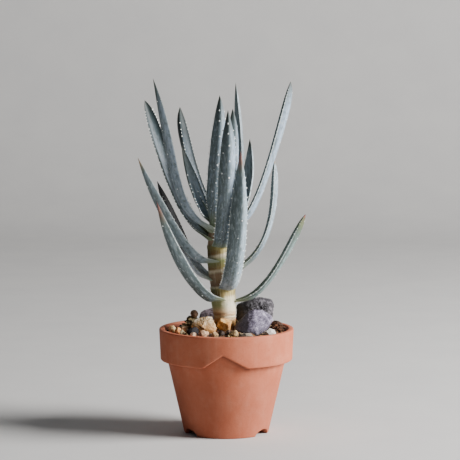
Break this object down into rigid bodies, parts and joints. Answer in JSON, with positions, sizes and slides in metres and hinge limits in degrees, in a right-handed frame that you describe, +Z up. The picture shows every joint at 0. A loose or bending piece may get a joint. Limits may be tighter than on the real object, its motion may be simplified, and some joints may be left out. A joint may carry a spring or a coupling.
{
  "type": "potted aloe",
  "caption": "Young short-stemmed aloe with narrow toothed blue-green leaves, standing in gravelly soil in a small tapered terracotta pot with a thick collar.",
  "frame": {"origin": "on the plane of the pot's foot, under the middle of the whole plant's plan; the pot's own axis stands at x = +2.6 mm", "axes": "+Z up along the pot's axis; +X to the right and -Y towards the viewer in the pictured view"},
  "size_m": [0.1104, 0.09, 0.237],
  "materials": {
    "terracotta": "matte unglazed fired clay, fine-grained, pale bloom",
    "soil": "loose gritty mix of bark and small gravel",
    "stem": "pale yellow-green sheaths with papery brown rings",
    "leaf": "smooth waxy blue-green leaf with pale teeth and white raised dots",
    "rock_front": "matte, speckled purple-grey rock",
    "rock_back": "matte, speckled dark purple-grey rock",
    "rock_left": "matte mauve-grey rock",
    "rock_cream": "waxy cream and ochre pebble",
    "pebble_amber": "waxy amber pebble",
    "pebble_bead": "dull brown round pebble",
    "pebble_olive": "dull olive-brown pebble",
    "pebble_black": "dull black pebble",
    "pebble_pink": "dull pinkish cream pebble",
    "pebble_beige": "dull beige pebble",
    "pebble_cream": "dull cream pebble",
    "pebble_orange": "waxy orange pebble",
    "pebble_green": "dull greenish cream pebble",
    "pebble_flat": "dull flat pink pebble",
    "pebble_white": "dull white pebble",
    "pebble_slate": "dull grey-beige pebble",
    "pebble_ochre": "dull ochre pebble",
    "pebble_peach": "dull peach pebble",
    "pebble_rust": "dull reddish-brown crumbly stone",
    "pebble_straw": "dull straw-yellow pebble",
    "chip_left": "dull black chip",
    "chip_right": "dull black chip"
  },
  "bodies": {
    "root": {"pot": "terracotta", "soil": "soil", "stem": "stem", "leaf_01": "leaf", "leaf_02": "leaf", "leaf_03": "leaf", "leaf_04": "leaf", "leaf_05": "leaf", "leaf_06": "leaf", "leaf_07": "leaf", "leaf_08": "leaf", "leaf_09": "leaf", "leaf_10": "leaf", "leaf_11": "leaf", "leaf_12": "leaf", "leaf_13": "leaf", "leaf_14": "leaf", "leaf_15": "leaf", "leaf_16": "leaf", "leaf_17": "leaf", "leaf_18": "leaf", "rock_front": "rock_front", "rock_back": "rock_back", "rock_left": "rock_left", "rock_cream": "rock_cream", "pebble_amber": "pebble_amber", "pebble_bead": "pebble_bead", "pebble_olive": "pebble_olive", "pebble_black": "pebble_black", "pebble_pink": "pebble_pink", "pebble_beige": "pebble_beige", "pebble_cream": "pebble_cream", "pebble_orange": "pebble_orange", "pebble_green": "pebble_green", "pebble_flat": "pebble_flat", "pebble_white": "pebble_white", "pebble_slate": "pebble_slate", "pebble_ochre": "pebble_ochre", "pebble_peach": "pebble_peach", "pebble_rust": "pebble_rust", "pebble_straw": "pebble_straw", "chip_left": "chip_left", "chip_right": "chip_right"}
  },
  "joints": []
}
